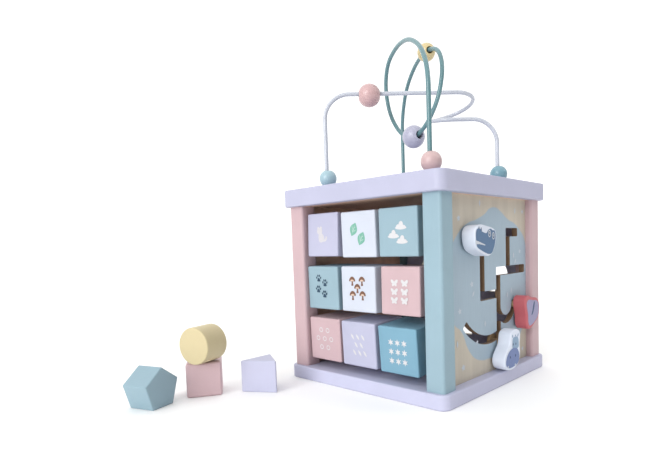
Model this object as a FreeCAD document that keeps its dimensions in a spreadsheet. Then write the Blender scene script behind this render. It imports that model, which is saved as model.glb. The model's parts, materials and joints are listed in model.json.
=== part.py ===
"""Wooden activity cube: bead wires on the lid, turning blocks on the front, a slot maze on the
right side, shape-sorting holes at the back and four loose shape blocks.

Millimetres, +Z up. The origin is the centre of the base's underside. The turning blocks face -Y,
the slot maze faces +X and the sorting holes face +Y.
"""
import FreeCAD, Part
import math
import os
from FreeCAD import Placement, Rotation, Vector

os.makedirs("parts", exist_ok=True)
doc = FreeCAD.newDocument("ActivityCube")

# ---------------------------------------------------------------- driving dimensions
DRIVING = [
    ("box_width", 210.0),
    ("box_height", 207.5),
    ("deck_thickness", 18.5),
    ("base_thickness", 14.0),
    ("base_inset", 1.7),
    ("corner_radius", 9.0),
    ("edge_radius", 1.6),
    ("post_inset", 6.0),
    ("post_width", 20.0),
    ("post_edge_radius", 3.0),
    ("panel_thickness", 6.0),
    ("panel_recess", 7.0),
    ("groove_depth", 4.0),
    ("cube_side", 45.8),
    ("cube_edge_radius", 1.6),
    ("dowel_diameter", 8.0),
    ("dowel_setback", 27.8),
    ("dowel_socket", 4.0),
    ("running_clearance", 0.08),
    ("recess_diameter", 13.0),
    ("recess_depth", 6.0),
    ("wire_diameter", 4.6),
    ("wire_foot_offset", 67.5),
    ("white_wire_shift", 2.0),
    ("wire_socket", 12.0),
    ("ferrule_diameter", 12.0),
    ("ferrule_height", 3.5),
    ("bead_bore", 7.6),
    ("large_bead_bore", 8.8),
    ("small_bead", 19.0),
    ("medium_bead", 20.0),
    ("large_bead", 25.0),
    ("slot_width", 9.0),
    ("slot_corner_radius", 1.8),
    ("figure_thickness", 14.0),
    ("figure_gap", 2.0),
    ("figure_edge_radius", 1.3),
    ("peg_diameter", 7.5),
    ("peg_tip_diameter", 4.0),
    ("disc_diameter", 17.0),
    ("disc_thickness", 3.0),
    ("pin_diameter", 8.0),
    ("pin_length", 24.0),
    ("screw_diameter", 4.0),
    ("screw_head_diameter", 8.0),
    ("screw_length", 34.0),
    ("block_side", 34.0),
    ("block_edge_radius", 1.2),
    ("block_cube_edge_radius", 2.2),
    ("cylinder_diameter", 36.5),
    ("cylinder_length", 28.0),
    ("triangle_side", 39.3),
    ("triangle_height", 32.0),
    ("pentagon_radius", 21.0),
    ("pentagon_length", 29.0),
    ("hole_clearance", 3.5),
    ("contact_gap", 0.3),
]

sheet = doc.addObject("Spreadsheet::Sheet", "Sizes")
for row, (alias, value) in enumerate(DRIVING, start=1):
    sheet.set("A%d" % row, alias)
    sheet.set("B%d" % row, str(value))
    sheet.setAlias("B%d" % row, alias)
doc.recompute()
size = {alias: float(getattr(sheet, alias)) for alias, _ in DRIVING}

# ---------------------------------------------------------------- places worked out from them
HALF = size["box_width"] / 2
DECK_LOW = size["box_height"] - size["deck_thickness"]
BASE_TOP = size["base_thickness"]
POST_OUT = HALF - size["post_inset"]
POST_IN = POST_OUT - size["post_width"]
POST_MID = (POST_OUT + POST_IN) / 2
PANEL_OUT = POST_OUT - size["panel_recess"]
PANEL_IN = PANEL_OUT - size["panel_thickness"]
PANEL_HALF_WIDTH = POST_IN + size["groove_depth"]
DOWEL_Y = -(POST_OUT - size["dowel_setback"])
ROW_GAP = (DECK_LOW - BASE_TOP - 3 * size["cube_side"]) / 4
ROW_PITCH = size["cube_side"] + ROW_GAP
ROW_Z = [DECK_LOW - ROW_GAP - size["cube_side"] / 2 - row * ROW_PITCH for row in range(3)]
X_AXIS = Vector(1, 0, 0)
Y_AXIS = Vector(0, 1, 0)
Z_AXIS = Vector(0, 0, 1)
ALONG_X = Rotation(Y_AXIS, 90)

nodes = []


def keep(piece, name):
    """Name a sub-part and put it on the list of parts to write."""
    piece.Label = name
    nodes.append(piece)
    return piece


def bind(piece, **properties):
    """Bind properties of a document object to expressions on the size sheet."""
    for name, formula in properties.items():
        piece.setExpression(name, formula)


def solid_feature(name, shape, place=None):
    """A sub-part whose shape is made with Part's own functions."""
    piece = doc.addObject("Part::Feature", name)
    piece.Shape = shape
    if place:
        piece.Placement = place
    return keep(piece, name)


def rod(start, end, radius):
    """A solid cylinder between two points."""
    return Part.makeCylinder(radius, (end - start).Length, start, end - start)


# ---------------------------------------------------------------- PartDesign helpers
def new_body(name, place=None):
    body = keep(doc.addObject("PartDesign::Body", name), name)
    if place:
        body.Placement = place
    return body


def add_box(body, length, width, height, low_z):
    """A box centred on the body's Z axis, standing on the height low_z."""
    box = body.newObject("PartDesign::AdditiveBox", body.Name + "_block")
    bind(box, Length=length, Width=width, Height=height)
    box.setExpression(".Placement.Base.x", "-(%s) / 2" % length)
    box.setExpression(".Placement.Base.y", "-(%s) / 2" % width)
    box.setExpression(".Placement.Base.z", low_z)
    doc.recompute()
    return box


def add_fillet(body, radius, wanted=None):
    """Round all edges of the body's tip, or only the ones that wanted(edge) picks."""
    tip = body.Tip
    fillet = body.newObject("PartDesign::Fillet", body.Name + "_fillet")
    names = ["Edge%d" % number for number, edge in enumerate(tip.Shape.Edges, start=1)
             if wanted is None or wanted(edge)]
    fillet.Base = (tip, names)
    bind(fillet, Radius=radius)
    doc.recompute()
    return fillet


def cut_cylinder(body, radius, height, place):
    """Take a cylinder out of the body: radius and height are expressions."""
    before = body.Shape.Volume
    hole = body.newObject("PartDesign::SubtractiveCylinder", body.Name + "_hole")
    bind(hole, Radius=radius, Height=height)
    hole.Placement = place
    doc.recompute()
    if body.Shape.Volume >= before:
        raise RuntimeError("hole cuts nothing in " + body.Name)
    return hole


def cut_box(body, length, width, height, place):
    before = body.Shape.Volume
    pocket = body.newObject("PartDesign::SubtractiveBox", body.Name + "_pocket")
    bind(pocket, Length=length, Width=width, Height=height)
    pocket.Placement = place
    doc.recompute()
    if body.Shape.Volume >= before:
        raise RuntimeError("pocket cuts nothing in " + body.Name)
    return pocket


def is_upright(edge):
    low, high = edge.BoundBox.ZMin, edge.BoundBox.ZMax
    return high - low > 3 * max(edge.BoundBox.XLength, edge.BoundBox.YLength) + 1


def is_level(edge):
    return edge.BoundBox.ZLength < 0.01


# ---------------------------------------------------------------- base, deck and posts
CORNERS = [("front_left", -1, -1), ("front_right", 1, -1), ("back_left", -1, 1), ("back_right", 1, 1)]


def make_base():
    base = new_body("base")
    side = "Sizes.box_width - 2 * Sizes.base_inset"
    add_box(base, side, side, "Sizes.base_thickness", "0 mm")
    add_fillet(base, "Sizes.corner_radius", is_upright)
    add_fillet(base, "Sizes.edge_radius", is_level)
    for _, x, y in CORNERS:
        centre = Vector(x * POST_MID, y * POST_MID, 0)
        cut_cylinder(base, "Sizes.screw_diameter / 2", "Sizes.base_thickness", Placement(centre, Rotation()))
        cut_cylinder(base, "Sizes.screw_head_diameter / 2", "Sizes.screw_diameter", Placement(centre, Rotation()))


def make_deck():
    deck = new_body("deck")
    low = "Sizes.box_height - Sizes.deck_thickness"
    add_box(deck, "Sizes.box_width", "Sizes.box_width", "Sizes.deck_thickness", low)
    add_fillet(deck, "Sizes.corner_radius", is_upright)
    add_fillet(deck, "Sizes.edge_radius", is_level)
    foot = size["wire_foot_offset"]
    white_shift = size["white_wire_shift"] / math.sqrt(2)
    for _, x, y in CORNERS:
        pin = Placement(Vector(x * POST_MID, y * POST_MID, DECK_LOW), Rotation())
        cut_cylinder(deck, "Sizes.pin_diameter / 2", "Sizes.pin_length / 2", pin)
        socket = Vector(x * foot, y * foot, size["box_height"] - size["wire_socket"])
        if x == y:
            socket -= Vector(white_shift, white_shift, 0)
        cut_cylinder(deck, "Sizes.wire_diameter / 2", "Sizes.wire_socket", Placement(socket, Rotation()))


def make_post(name, x, y):
    """A square post with a groove for each panel that it holds, and its pin and screw holes."""
    post = new_body("post_" + name, Placement(Vector(x * POST_MID, y * POST_MID, 0), Rotation()))
    add_box(post, "Sizes.post_width", "Sizes.post_width",
            "Sizes.box_height - Sizes.deck_thickness - Sizes.base_thickness", "Sizes.base_thickness")
    add_fillet(post, "Sizes.post_edge_radius", is_upright)
    height = DECK_LOW - BASE_TOP
    half = size["post_width"] / 2
    depth = size["groove_depth"]
    panel_low = min(x * PANEL_IN, x * PANEL_OUT) - x * POST_MID
    side_low = -half if y > 0 else half - depth
    cut_box(post, "Sizes.panel_thickness", "Sizes.groove_depth", "%g mm" % height,
            Placement(Vector(panel_low, side_low, BASE_TOP), Rotation()))
    if y > 0:
        cut_box(post, "Sizes.groove_depth", "Sizes.panel_thickness", "%g mm" % height,
                Placement(Vector(-half if x > 0 else half - depth, PANEL_IN - POST_MID, BASE_TOP), Rotation()))
    cut_cylinder(post, "Sizes.pin_diameter / 2", "Sizes.pin_length / 2",
                 Placement(Vector(0, 0, DECK_LOW - size["pin_length"] / 2), Rotation()))
    cut_cylinder(post, "Sizes.screw_diameter / 2", "Sizes.screw_length - Sizes.base_thickness",
                 Placement(Vector(0, 0, BASE_TOP), Rotation()))


def make_frame_fasteners():
    """The wooden pins between deck and posts, and the countersunk screws from below."""
    radius = size["pin_diameter"] / 2
    low = DECK_LOW - size["pin_length"] / 2
    pins = [Part.makeCylinder(radius, size["pin_length"], Vector(x * POST_MID, y * POST_MID, low))
            for _, x, y in CORNERS]
    solid_feature("deck_pins", Part.makeCompound(pins))
    shank = size["screw_diameter"] / 2
    head = size["screw_head_diameter"] / 2
    sink = 0.6
    screws = []
    for _, x, y in CORNERS:
        spot = Vector(x * POST_MID, y * POST_MID, sink)
        cap = Part.makeCylinder(head, size["screw_diameter"] - sink, spot)
        slot_depth = 1.2
        for angle in (0, 90):
            cross = Part.makeBox(head, 1.0, slot_depth, Vector(-head / 2, -0.5, 0))
            cross.Placement = Placement(spot, Rotation(Z_AXIS, angle))
            cap = cap.cut(cross)
        stem = Part.makeCylinder(shank, size["screw_length"] - sink, spot)
        stem = stem.cut(Part.makeCylinder(shank, slot_depth, spot))
        screws.append(cap.fuse(stem).removeSplitter())
    solid_feature("base_screws", Part.makeCompound(screws))


# ---------------------------------------------------------------- turning blocks on their dowels
# Where each block has come to rest along its dowel, and how far it has turned, row by row.
CUBE_REST = [
    [(-53.2, -2.0), (-1.8, 1.5), (48.2, 0.6)],
    [(-55.0, 1.0), (-3.9, 0.4), (49.2, -0.7)],
    [(-54.4, 1.4), (-5.6, 2.6), (44.6, 4.0)],
]
ROW_NAMES = ["top", "middle", "bottom"]
COLUMN_NAMES = ["left", "centre", "right"]


def make_dowel(row):
    reach = PANEL_IN + size["dowel_socket"]
    dowel = doc.addObject("Part::Cylinder", "dowel_" + ROW_NAMES[row])
    bind(dowel, Radius="Sizes.dowel_diameter / 2", Height="%g mm" % (2 * reach))
    dowel.Placement = Placement(Vector(-reach, DOWEL_Y, ROW_Z[row]), ALONG_X)
    keep(dowel, dowel.Name)


def make_turning_cube(row, column):
    """A block with rounded edges, bored along X, with a wide shallow recess at both ends of the bore."""
    x, angle = CUBE_REST[row][column]
    place = Placement(Vector(x, DOWEL_Y, ROW_Z[row]), Rotation(X_AXIS, angle))
    cube = new_body("turning_cube_%s_%s" % (ROW_NAMES[row], COLUMN_NAMES[column]), place)
    side = "Sizes.cube_side"
    add_box(cube, side, side, side, "-Sizes.cube_side / 2")
    add_fillet(cube, "Sizes.cube_edge_radius")
    half = size["cube_side"] / 2
    cut_cylinder(cube, "Sizes.dowel_diameter / 2 + Sizes.running_clearance", side,
                 Placement(Vector(-half, 0, 0), ALONG_X))
    for start in (-half, half - size["recess_depth"]):
        cut_cylinder(cube, "Sizes.recess_diameter / 2", "Sizes.recess_depth",
                     Placement(Vector(start, 0, 0), ALONG_X))


# ---------------------------------------------------------------- panels
SLOT = {
    "left_column": -18.2,
    "middle_column": 14.5,
    "right_column": 36.3,
    "left_end": -44.5,
    "top_left": 147.5,
    "top_right": 154.0,
    "upper_run": 114.3,
    "lower_run": 91.5,
    "floor": 36.0,
    "upper_end": 74.8,
    "top_right_end": 58.8,
}
CUP_CENTRE = Vector(0, 31.0, 80.2)
CUP_RADIUS = 17.3
CUP_PEG_ANGLE = -10.0
CUP_END_ANGLE = 6.0
BOWL_CENTRE = Vector(0, -4.5, 113.0)
BOWL_RADIUS = 66.0
BOWL_LEFT_ANGLE = 223.5


def on_circle(centre, radius, angle):
    turn = math.radians(angle)
    return centre + Vector(0, radius * math.cos(turn), radius * math.sin(turn))


def round_slot_corners(cutter):
    """Round the corners that a slot's square end leaves, seen along X."""
    edges = [edge for edge in cutter.Edges if edge.BoundBox.XLength > size["panel_thickness"]]
    return cutter.makeFillet(size["slot_corner_radius"], edges)


def straight_slot(y1, z1, y2, z2):
    """A cutter for a level or upright slot whose middle line runs between two points."""
    half = size["slot_width"] / 2
    low = Vector(PANEL_IN - 1, min(y1, y2), min(z1, z2))
    length, height = abs(y2 - y1), abs(z2 - z1)
    level = length > height
    sideways = Vector(0, 0, half) if level else Vector(0, half, 0)
    bar = Part.makeBox(size["panel_thickness"] + 2, length if level else 2 * half,
                       2 * half if level else height, low - sideways)
    return round_slot_corners(bar)


def curved_slot(centre, radius, first, last):
    """A cutter for a slot along an arc from the angle first to the angle last, in degrees."""
    thick, half = size["panel_thickness"] + 2, size["slot_width"] / 2
    middle = Vector(PANEL_IN - 1, centre.y, centre.z)
    inner, outer = radius - half, radius + half
    arcs = [Part.Arc(*[on_circle(middle, reach, angle) for angle in (first, (first + last) / 2, last)]).toShape()
            for reach in (inner, outer)]
    ends = [Part.LineSegment(on_circle(middle, inner, angle), on_circle(middle, outer, angle)).toShape()
            for angle in (first, last)]
    outline = Part.Wire([arcs[0], ends[1], arcs[1], ends[0]])
    return round_slot_corners(Part.Face(outline).extrude(Vector(thick, 0, 0)))


def side_panel(side):
    """A plain panel on the side -1 or 1, with blind holes in its inner face for the three dowels."""
    low = min(side * PANEL_IN, side * PANEL_OUT)
    panel = Part.makeBox(size["panel_thickness"], 2 * PANEL_HALF_WIDTH, DECK_LOW - BASE_TOP,
                         Vector(low, -PANEL_HALF_WIDTH, BASE_TOP))
    for height in ROW_Z:
        start = Vector(side * PANEL_IN, DOWEL_Y, height)
        socket = rod(start, start + X_AXIS * side * size["dowel_socket"], size["dowel_diameter"] / 2)
        panel = panel.cut(socket)
    return panel


def make_maze_panel():
    s = SLOT
    half = size["slot_width"] / 2
    middle_foot = math.degrees(math.acos((s["middle_column"] - BOWL_CENTRE.y) / BOWL_RADIUS))
    cup_foot = math.degrees(math.acos((s["middle_column"] - CUP_CENTRE.y) / CUP_RADIUS))
    upper_right = s["top_right"] + half
    cutters = [
        straight_slot(s["left_end"], s["top_left"], s["left_column"] + half, s["top_left"]),
        straight_slot(s["left_column"], s["lower_run"] - half, s["left_column"], s["top_left"] + half),
        straight_slot(s["left_column"] - half, s["lower_run"], s["middle_column"], s["lower_run"]),
        straight_slot(s["middle_column"], s["floor"], s["middle_column"], s["upper_run"] + half),
        straight_slot(s["middle_column"] - half, s["upper_run"], s["upper_end"], s["upper_run"]),
        straight_slot(s["right_column"], s["upper_run"], s["right_column"], upper_right),
        straight_slot(s["right_column"] - half, s["top_right"], s["top_right_end"], s["top_right"]),
        curved_slot(CUP_CENTRE, CUP_RADIUS, 360 - cup_foot, 360 + CUP_END_ANGLE),
        curved_slot(BOWL_CENTRE, BOWL_RADIUS, BOWL_LEFT_ANGLE, 360 - middle_foot),
    ]
    solid_feature("maze_panel", side_panel(1).cut(cutters[0].fuse(cutters[1:])).removeSplitter())


HOLE_HEIGHT = 105.0
HOLE_REACH = 47.0
UPPER_HOLE = Vector(0, 0, 150.0)
LOWER_HOLE = Vector(0, 0, 49.0)


def regular_polygon(corners, radius, first_angle):
    """A flat face in the XZ plane with equal sides."""
    points = []
    for corner in range(corners):
        turn = math.radians(first_angle + 360 * corner / corners)
        points.append(Vector(radius * math.cos(turn), 0, radius * math.sin(turn)))
    return Part.Face(Part.makePolygon(points + points[:1]))


def make_sorter_panel():
    """The back panel: a square, a round, a triangular and a five-sided hole for the loose blocks."""
    play = size["hole_clearance"]
    depth = size["panel_thickness"] + 2
    square = regular_polygon(4, (size["block_side"] + play) / math.sqrt(2), 45)
    triangle = regular_polygon(3, (size["triangle_side"] + 1.5 * play) / math.sqrt(3), 90)
    pentagon = regular_polygon(5, size["pentagon_radius"] + play / 2, 90)
    cutters = []
    for face, spot in ((square, LOWER_HOLE), (triangle, Vector(-HOLE_REACH, 0, HOLE_HEIGHT)),
                       (pentagon, UPPER_HOLE)):
        cutter = face.extrude(Vector(0, depth, 0))
        cutter.translate(spot + Vector(0, PANEL_IN - 1, 0))
        cutters.append(cutter)
    round_spot = Vector(HOLE_REACH, PANEL_IN - 1, HOLE_HEIGHT)
    cutters.append(Part.makeCylinder((size["cylinder_diameter"] + play) / 2, depth, round_spot, Y_AXIS))
    panel = Part.makeBox(2 * PANEL_HALF_WIDTH, size["panel_thickness"], DECK_LOW - BASE_TOP,
                         Vector(-PANEL_HALF_WIDTH, PANEL_IN, BASE_TOP))
    solid_feature("sorter_panel", panel.cut(cutters))


# ---------------------------------------------------------------- bead wires
# Wires are set out along the lid's diagonals: "along" runs from the front left to the back right
# corner and "across" from the back left to the front right corner.
ALONG = Vector(1, 1, 0) / math.sqrt(2)
ACROSS = Vector(1, -1, 0) / math.sqrt(2)
FOOT = size["wire_foot_offset"] * math.sqrt(2)
WIRE_LOW = size["box_height"] - size["wire_socket"]
WHITE_FEET = [-FOOT - size["white_wire_shift"], FOOT - size["white_wire_shift"]]
WHITE_TOP = 310.7
WHITE_DROP = 30.0
WHITE_BEND = 27.0
CURL_START = 48.0
CURL_RADIUS = 24.5
CURL_CORNERS = 8
RUN_SHARE = 0.47
GREEN_MIDDLE = (0.0, 0.0, 260.5)
GREEN_HALF = [
    (-11.0, -23.0, 270.5),
    (-21.5, -37.0, 295.0),
    (-26.5, -37.0, 326.0),
    (-25.0, -22.0, 350.0),
    (-17.0, 6.0, 359.0),
    (-9.5, 39.0, 354.0),
    (-2.5, 69.0, 336.0),
    (0.0, FOOT, 306.0),
    (0.0, FOOT, WIRE_LOW),
]
YELLOW_CORNER = 4
LARGE_BEAD_ALONG = -48.0


def diagonal_point(along, across, height):
    return ALONG * along + ACROSS * across + Z_AXIS * height


def corner_arc(before, corner, after, radius=None):
    """The tangent arc that rounds a corner: start, middle, end, centre and radius."""
    back, ahead = before - corner, after - corner
    half = back.getAngle(ahead) / 2
    reach = RUN_SHARE * min(back.Length, ahead.Length)
    if radius:
        reach = radius / math.tan(half)
    radius = reach * math.tan(half)
    back.normalize()
    ahead.normalize()
    inward = (back + ahead).normalize()
    centre = corner + inward * (radius / math.sin(half))
    return corner + back * reach, centre - inward * radius, corner + ahead * reach, centre, radius


def wire_path(points, radii):
    """Straight runs joined by tangent arcs. radii gives the radius at a corner, by its number."""
    edges, here = [], points[0]
    for number in range(1, len(points) - 1):
        start, middle, end, _, _ = corner_arc(*points[number - 1:number + 2], radii.get(number))
        edges.append(Part.LineSegment(here, start).toShape())
        edges.append(Part.Arc(start, middle, end).toShape())
        here = end
    edges.append(Part.LineSegment(here, points[-1]).toShape())
    return Part.Wire(edges)


def make_wire(name, points, radii):
    path = wire_path(points, radii)
    radius = size["wire_diameter"] / 2
    section = Part.Wire(Part.Circle(points[0], points[1] - points[0], radius).toShape())
    tube = path.makePipeShell([section], True, False)
    ideal = math.pi * radius ** 2 * path.Length
    print("%s: length %.1f, volume ratio %.4f" % (name, path.Length, tube.Volume / ideal))
    solid_feature(name, tube)


def white_points():
    """Up the front left leg, along the diagonal, once round a curl that sinks, and down the other leg."""
    points = [diagonal_point(WHITE_FEET[0], 0, WIRE_LOW), diagonal_point(WHITE_FEET[0], 0, WHITE_TOP)]
    reach = CURL_RADIUS / math.cos(math.pi / CURL_CORNERS)
    for corner in range(CURL_CORNERS):
        turn = 2 * math.pi * (corner + 0.5) / CURL_CORNERS
        sink = WHITE_DROP * (1 - math.cos(turn / 2)) / 2
        points.append(diagonal_point(CURL_START + reach * math.sin(turn),
                                     reach * math.cos(turn) - CURL_RADIUS, WHITE_TOP - sink))
    points.append(diagonal_point(WHITE_FEET[1], 0, WHITE_TOP - WHITE_DROP))
    points.append(diagonal_point(WHITE_FEET[1], 0, WIRE_LOW))
    return points


def green_points():
    """The two halves are the same shape, turned half a turn about the vertical through the centre."""
    first_half = [diagonal_point(-along, -across, height) for along, across, height in reversed(GREEN_HALF)]
    second_half = [diagonal_point(*point) for point in GREEN_HALF]
    return first_half + [diagonal_point(*GREEN_MIDDLE)] + second_half


def make_ferrules(name, spots):
    """The turned collars that close the holes where a wire enters the lid."""
    rings = []
    for spot in spots:
        foot = Vector(spot.x, spot.y, size["box_height"])
        ring = Part.makeCylinder(size["ferrule_diameter"] / 2, size["ferrule_height"], foot)
        ring = ring.makeFillet(0.8, [edge for edge in ring.Edges if edge.BoundBox.ZMin > foot.z + 1
                                     and edge.BoundBox.ZLength < 0.01])
        rings.append(ring.cut(Part.makeCylinder(size["wire_diameter"] / 2, size["ferrule_height"], foot)))
    solid_feature(name, Part.makeCompound(rings))


def bead_bore_radius(diameter):
    return size["large_bead_bore" if diameter == "large_bead" else "bead_bore"] / 2


def bead_half_length(diameter):
    """Half a bead's length along its bore, between the small flats at the bore's mouths."""
    return math.sqrt((size[diameter] / 2) ** 2 - (bead_bore_radius(diameter) + 0.5) ** 2)


def bead_slack(diameter):
    """How far a hanging bead's centre is below a straight wire."""
    return bead_bore_radius(diameter) - size["wire_diameter"] / 2 - size["contact_gap"]


def make_bead(name, diameter, centre, direction):
    """A round wooden bead with a wide bore along direction."""
    radius = size[diameter] / 2
    flat = bead_half_length(diameter)
    bead = Part.makeSphere(radius, Vector(), Z_AXIS, -90, 90, 360)
    bead = bead.common(Part.makeCylinder(radius + 1, 2 * flat, Vector(0, 0, -flat)))
    bead = bead.cut(Part.makeCylinder(bead_bore_radius(diameter), 3 * radius, Vector(0, 0, -1.5 * radius)))
    solid_feature(name, bead, Placement(centre, Rotation(Z_AXIS, direction)))


def resting_bead(diameter, along, across):
    """Centre of a bead that stands on a ferrule, pushed to one side of its wire."""
    low = size["box_height"] + size["ferrule_height"] + size["contact_gap"]
    return diagonal_point(along + bead_slack(diameter), across, low + bead_half_length(diameter))


def make_beads(green):
    make_bead("bead_teal_front", "small_bead", resting_bead("small_bead", WHITE_FEET[0], 0), Z_AXIS)
    make_bead("bead_teal_back", "small_bead", resting_bead("small_bead", WHITE_FEET[1], 0), Z_AXIS)
    make_bead("bead_pink_foot", "medium_bead", resting_bead("medium_bead", 0, FOOT), Z_AXIS)
    make_bead("bead_pink_large", "large_bead",
              diagonal_point(LARGE_BEAD_ALONG, 0, WHITE_TOP - bead_slack("large_bead")), ALONG)
    middle = len(GREEN_HALF)
    start, lowest, end, _, radius = corner_arc(*green[middle - 1:middle + 2])
    rise = bead_half_length("large_bead") ** 2 / (2 * radius)
    make_bead("bead_lavender", "large_bead", lowest - Z_AXIS * (bead_slack("large_bead") - rise), end - start)
    crest = middle - 1 - YELLOW_CORNER
    start, highest, end, _, _ = corner_arc(*green[crest - 1:crest + 2])
    make_bead("bead_yellow", "medium_bead", highest - Z_AXIS * bead_slack("medium_bead"), end - start)


# ---------------------------------------------------------------- figures in the maze
# Outlines of the flat figures on the panel, seen from +X: (towards +Y, up).
CROCODILE = [(-59.0, 151.0), (-57.0, 157.0), (-50.0, 160.4), (-36.0, 159.4), (-26.0, 157.8), (-19.8, 154.5),
             (-18.8, 149.0), (-21.0, 141.5), (-27.5, 133.6), (-35.0, 131.6), (-45.0, 134.0), (-55.0, 139.0),
             (-58.2, 145.0)]
HIPPO = [(11.0, 52.6), (16.5, 54.6), (23.5, 54.4), (29.0, 51.6), (30.2, 46.0), (28.9, 39.5), (29.6, 32.5),
         (28.6, 24.5), (24.0, 18.2), (16.0, 15.2), (7.0, 15.0), (-1.0, 17.6), (-5.0, 24.0), (-3.2, 31.0),
         (2.6, 37.0), (7.2, 42.5), (8.4, 48.0)]
BIRD = [(42.2, 79.5), (44.8, 85.2), (52.0, 86.2), (60.0, 83.2), (70.0, 82.6), (76.8, 77.6), (78.2, 69.0),
        (75.2, 60.5), (66.0, 55.0), (58.0, 51.2), (50.0, 51.0), (46.3, 56.5), (45.6, 64.0), (43.6, 72.0)]
FIGURE_REAR = PANEL_OUT + size["figure_gap"]
PEG_DEPTH = 8.0
SHOULDER = PANEL_IN - 0.4
DISC_REAR = SHOULDER - size["contact_gap"] - size["disc_thickness"]
TIP_END = DISC_REAR - size["contact_gap"]


def make_figure(name, outline, peg):
    """A flat figure, its peg through the slot, the screw in the peg and the loose disc behind."""
    curve = Part.BSplineCurve()
    curve.interpolate([Vector(FIGURE_REAR, y, z) for y, z in outline], PeriodicFlag=True)
    plate = Part.Face(Part.Wire(curve.toShape())).extrude(Vector(size["figure_thickness"], 0, 0))
    plate = plate.makeFillet(size["figure_edge_radius"],
                             [edge for edge in plate.Edges if edge.BoundBox.XLength < 0.01])
    peg_radius = size["peg_diameter"] / 2
    shoulder = Vector(SHOULDER, peg.y, peg.z)
    tip = Vector(TIP_END, peg.y, peg.z)
    inner_end = Vector(FIGURE_REAR + PEG_DEPTH, peg.y, peg.z)
    solid_feature(name, plate.cut(rod(shoulder, inner_end, peg_radius)))

    screw_end = Vector(PANEL_OUT, peg.y, peg.z)
    screw_radius = 1.25
    stem = rod(tip, inner_end, size["peg_tip_diameter"] / 2).fuse(rod(shoulder, inner_end, peg_radius))
    stem = stem.removeSplitter().cut(rod(tip, screw_end, screw_radius))
    solid_feature(name + "_peg", stem)

    head = rod(tip - X_AXIS * 2, tip, 3.5)
    cross = Part.makeBox(0.8, 4.0, 0.9, Vector(TIP_END - 2, peg.y - 2.0, peg.z - 0.45))
    solid_feature(name + "_screw", head.fuse(rod(tip, screw_end, screw_radius)).removeSplitter().cut(cross))

    disc = rod(Vector(DISC_REAR, peg.y, peg.z),
               Vector(DISC_REAR + size["disc_thickness"], peg.y, peg.z), size["disc_diameter"] / 2)
    disc = disc.makeFillet(0.7, [edge for edge in disc.Edges if edge.BoundBox.XLength < 0.01])
    bore = size["peg_tip_diameter"] / 2 + size["running_clearance"]
    solid_feature(name + "_disc", disc.cut(rod(tip, shoulder, bore)))


# ---------------------------------------------------------------- loose blocks
def rounded(shape, radius):
    return shape.makeFillet(radius, shape.Edges)


def make_loose_blocks():
    """The cube, the cylinder lying on it, the standing triangular prism and the lying five-sided prism."""
    radius = size["block_edge_radius"]
    side = size["block_side"]
    cube = new_body("block_cube", Placement(Vector(-125.0, -197.7, 0), Rotation(Z_AXIS, 57.2)))
    add_box(cube, "Sizes.block_side", "Sizes.block_side", "Sizes.block_side", "0 mm")
    add_fillet(cube, "Sizes.block_cube_edge_radius")

    length = size["cylinder_length"]
    barrel = Part.makeCylinder(size["cylinder_diameter"] / 2, length, Vector(0, 0, -length / 2))
    barrel = barrel.makeFillet(radius, [edge for edge in barrel.Edges if edge.BoundBox.ZLength < 0.01])
    direction = Vector(math.cos(math.radians(107.7)), math.sin(math.radians(107.7)), 0)
    height = side + size["contact_gap"] + size["cylinder_diameter"] / 2
    solid_feature("block_cylinder", barrel, Placement(Vector(-113.6, -204.1, height), Rotation(Z_AXIS, direction)))

    edge_length = size["triangle_side"]
    depth = edge_length * math.sqrt(3) / 2
    outline = [Vector(-edge_length / 2, 0, 0), Vector(edge_length / 2, 0, 0), Vector(0, depth, 0)]
    wedge = Part.Face(Part.makePolygon(outline + outline[:1])).extrude(Vector(0, 0, size["triangle_height"]))
    solid_feature("block_triangle", rounded(wedge, radius),
                  Placement(Vector(-79.6, -164.2, 0), Rotation(Z_AXIS, 31.5)))

    low_side = size["pentagon_radius"] * math.cos(math.radians(36))
    prism = regular_polygon(5, size["pentagon_radius"], 90).extrude(Vector(0, size["pentagon_length"], 0))
    prism.translate(Vector(0, 0, low_side))
    solid_feature("block_pentagon", rounded(prism, radius),
                  Placement(Vector(-113.6, -247.8, 0), Rotation(Z_AXIS, 109.6)))


# ---------------------------------------------------------------- build
make_base()
make_deck()
for corner in CORNERS:
    make_post(*corner)
make_frame_fasteners()
for row in range(3):
    make_dowel(row)
    for column in range(3):
        make_turning_cube(row, column)
make_maze_panel()
make_sorter_panel()
solid_feature("left_panel", side_panel(-1))
green = green_points()
make_wire("wire_white", white_points(), {1: WHITE_BEND, CURL_CORNERS + 2: WHITE_BEND})
make_wire("wire_green", green, {})
make_ferrules("ferrules_white", [diagonal_point(along, 0, 0) for along in WHITE_FEET])
make_ferrules("ferrules_green", [diagonal_point(0, side * FOOT, 0) for side in (-1, 1)])
make_beads(green)
make_figure("crocodile", CROCODILE, Vector(0, SLOT["left_end"] + size["slot_width"] / 2, SLOT["top_left"]))
make_figure("hippo", HIPPO, Vector(0, SLOT["middle_column"], SLOT["floor"] + size["slot_width"] / 2))
make_figure("bird", BIRD, on_circle(CUP_CENTRE, CUP_RADIUS, CUP_PEG_ANGLE))
make_loose_blocks()

doc.recompute()
for item in doc.Objects:
    if "Invalid" in item.State or "Error" in item.State:
        raise RuntimeError("%s failed: %s" % (item.Label, item.State))
for node in nodes:
    if node.Shape.isNull() or not node.Shape.isValid() or not node.Shape.Solids:
        raise RuntimeError("%s has a bad shape" % node.Label)
for node in nodes:
    node.Shape.exportStep("parts/%s.step" % node.Label)
print("%d nodes written" % len(nodes))
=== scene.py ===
import bpy
import json
import math
from mathutils import Matrix, Vector
from mathutils.geometry import tessellate_polygon


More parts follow.
